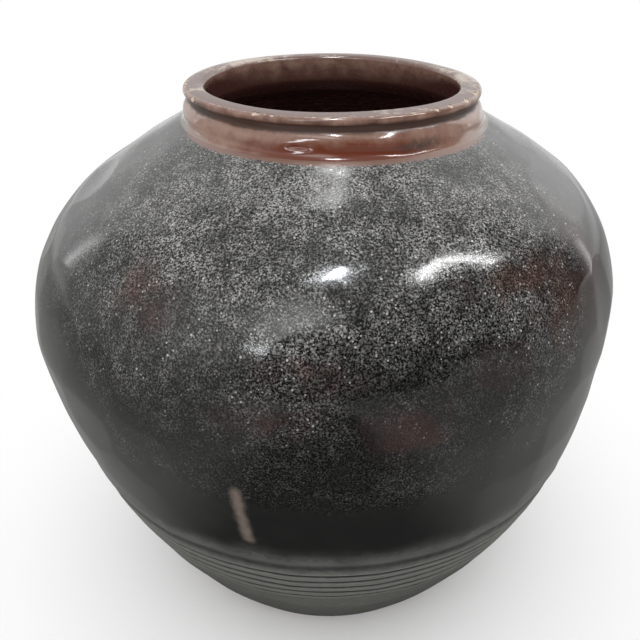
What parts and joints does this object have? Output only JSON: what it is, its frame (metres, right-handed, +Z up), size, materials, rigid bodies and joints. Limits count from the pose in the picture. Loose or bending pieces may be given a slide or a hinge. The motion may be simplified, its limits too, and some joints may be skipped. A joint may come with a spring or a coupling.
{
  "type": "onggi jar",
  "caption": "Round-bellied storage jar of glazed stoneware with a small foot, combed lines low on the wall, a short neck and a rolled rim.",
  "frame": {"origin": "middle of the underside, on the jar's axis", "axes": "+Z up along the jar's axis, -Y towards the viewer in the picture, +X to the viewer's right"},
  "size_m": [0.3998, 0.3998, 0.369],
  "materials": {
    "body_glaze": "charcoal glaze, glossy and grainy, with pale specks and rust patches",
    "foot_glaze": "thin grey-green glaze, satin, over combed lines",
    "neck_glaze": "glossy red-brown glaze with cream chips along the lip",
    "inside_glaze": "dark brown glaze inside the pot",
    "bare_clay": "bare fired clay, matte"
  },
  "bodies": {
    "root": {"base_disc": "bare_clay", "corner_coil": "inside_glaze", "foot_band": "foot_glaze", "combed_band": "foot_glaze", "lower_belly_band": "body_glaze", "upper_belly_band": "body_glaze", "lower_shoulder_band": "body_glaze", "upper_shoulder_band": "body_glaze", "neck_collar": "neck_glaze", "rolled_rim": "neck_glaze"}
  },
  "joints": []
}
